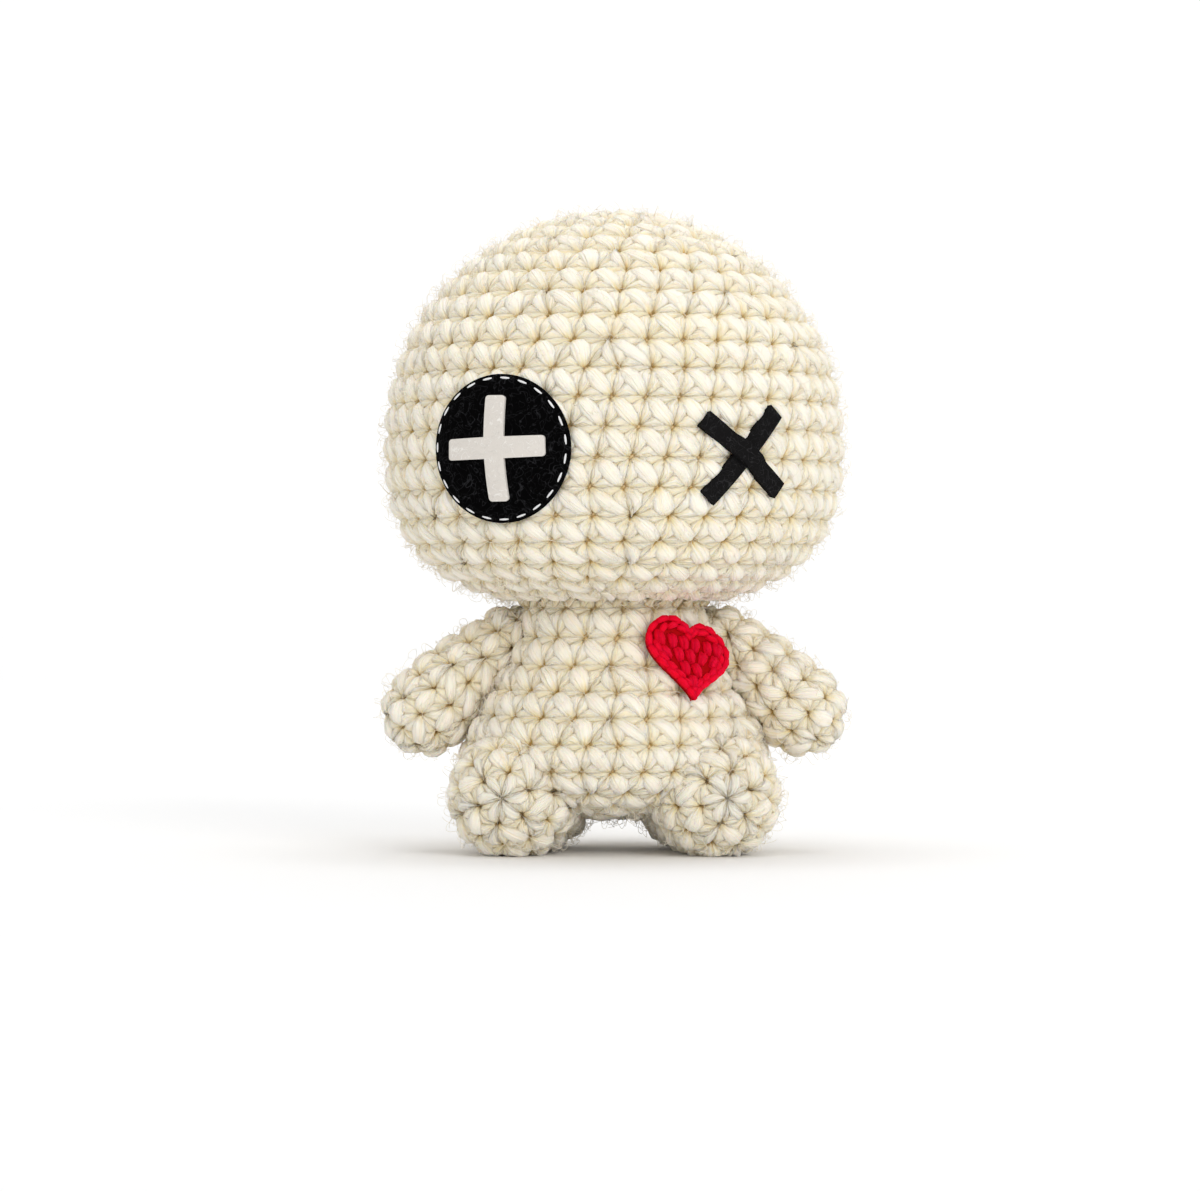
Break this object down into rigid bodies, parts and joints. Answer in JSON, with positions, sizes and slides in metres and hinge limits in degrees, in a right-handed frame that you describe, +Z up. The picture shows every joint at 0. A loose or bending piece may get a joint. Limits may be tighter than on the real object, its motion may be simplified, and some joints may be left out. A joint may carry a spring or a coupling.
{
  "type": "amigurumi doll",
  "caption": "Small crocheted stuffed doll with a large turning and nodding head, felt eyes, a heart on the chest and sewn limbs that swing.",
  "frame": {"origin": "on the resting plane, in the middle of the doll's outline seen from above", "axes": "+Z up through the neck and head, +X to the doll's own left, the doll faces -Y"},
  "size_m": [0.0542, 0.0547, 0.0748],
  "materials": {
    "cream_yarn": "soft twisted yarn, single crochet, slight sheen and fuzz",
    "fibre_fill": "loose white polyester filling",
    "black_felt": "matte pressed felt",
    "white_felt": "matte pressed felt",
    "red_yarn": "crocheted cotton yarn, matte"
  },
  "bodies": {
    "torso": {"body_cover": "cream_yarn", "body_stuffing": "fibre_fill", "heart_patch": "red_yarn"},
    "neck": {"neck_seam": "cream_yarn"},
    "head": {"head_cover": "cream_yarn", "head_stuffing": "fibre_fill", "round_eye_patch": "black_felt", "round_eye_cross": "white_felt", "x_eye_under_strip": "black_felt", "x_eye_over_strip": "black_felt"},
    "left_arm": {"left_arm_cover": "cream_yarn", "left_arm_stuffing": "fibre_fill"},
    "right_arm": {"right_arm_cover": "cream_yarn", "right_arm_stuffing": "fibre_fill"},
    "left_leg": {"left_leg_cover": "cream_yarn", "left_leg_stuffing": "fibre_fill"},
    "right_leg": {"right_leg_cover": "cream_yarn", "right_leg_stuffing": "fibre_fill"}
  },
  "joints": [
    {"name": "head_turn", "type": "hinge", "parent": "torso", "child": "neck", "pos_m": [0, 0.0006, 0.0228], "axis": [0, 0, 1], "range_deg": [-20, 20], "stiffness_Nm_per_rad": 0.01},
    {"name": "head_nod", "type": "hinge", "parent": "neck", "child": "head", "pos_m": [0, 0.0006, 0.0228], "axis": [1, 0, 0], "range_deg": [-8, 6], "stiffness_Nm_per_rad": 0.03},
    {"name": "left_arm_raise", "type": "hinge", "parent": "torso", "child": "left_arm", "pos_m": [0.0126, 0.0006, 0.0254], "axis": [0, -1, 0], "range_deg": [0, 40], "stiffness_Nm_per_rad": 0.002},
    {"name": "right_arm_raise", "type": "hinge", "parent": "torso", "child": "right_arm", "pos_m": [-0.0126, 0.0006, 0.0254], "axis": [0, 1, 0], "range_deg": [0, 40], "stiffness_Nm_per_rad": 0.002},
    {"name": "left_leg_kick", "type": "hinge", "parent": "torso", "child": "left_leg", "pos_m": [0.0106, -0.0034, 0.0075], "axis": [-1, 0, 0], "range_deg": [-6, 6], "stiffness_Nm_per_rad": 0.05},
    {"name": "right_leg_kick", "type": "hinge", "parent": "torso", "child": "right_leg", "pos_m": [-0.0106, -0.0034, 0.0075], "axis": [-1, 0, 0], "range_deg": [-6, 6], "stiffness_Nm_per_rad": 0.05}
  ]
}
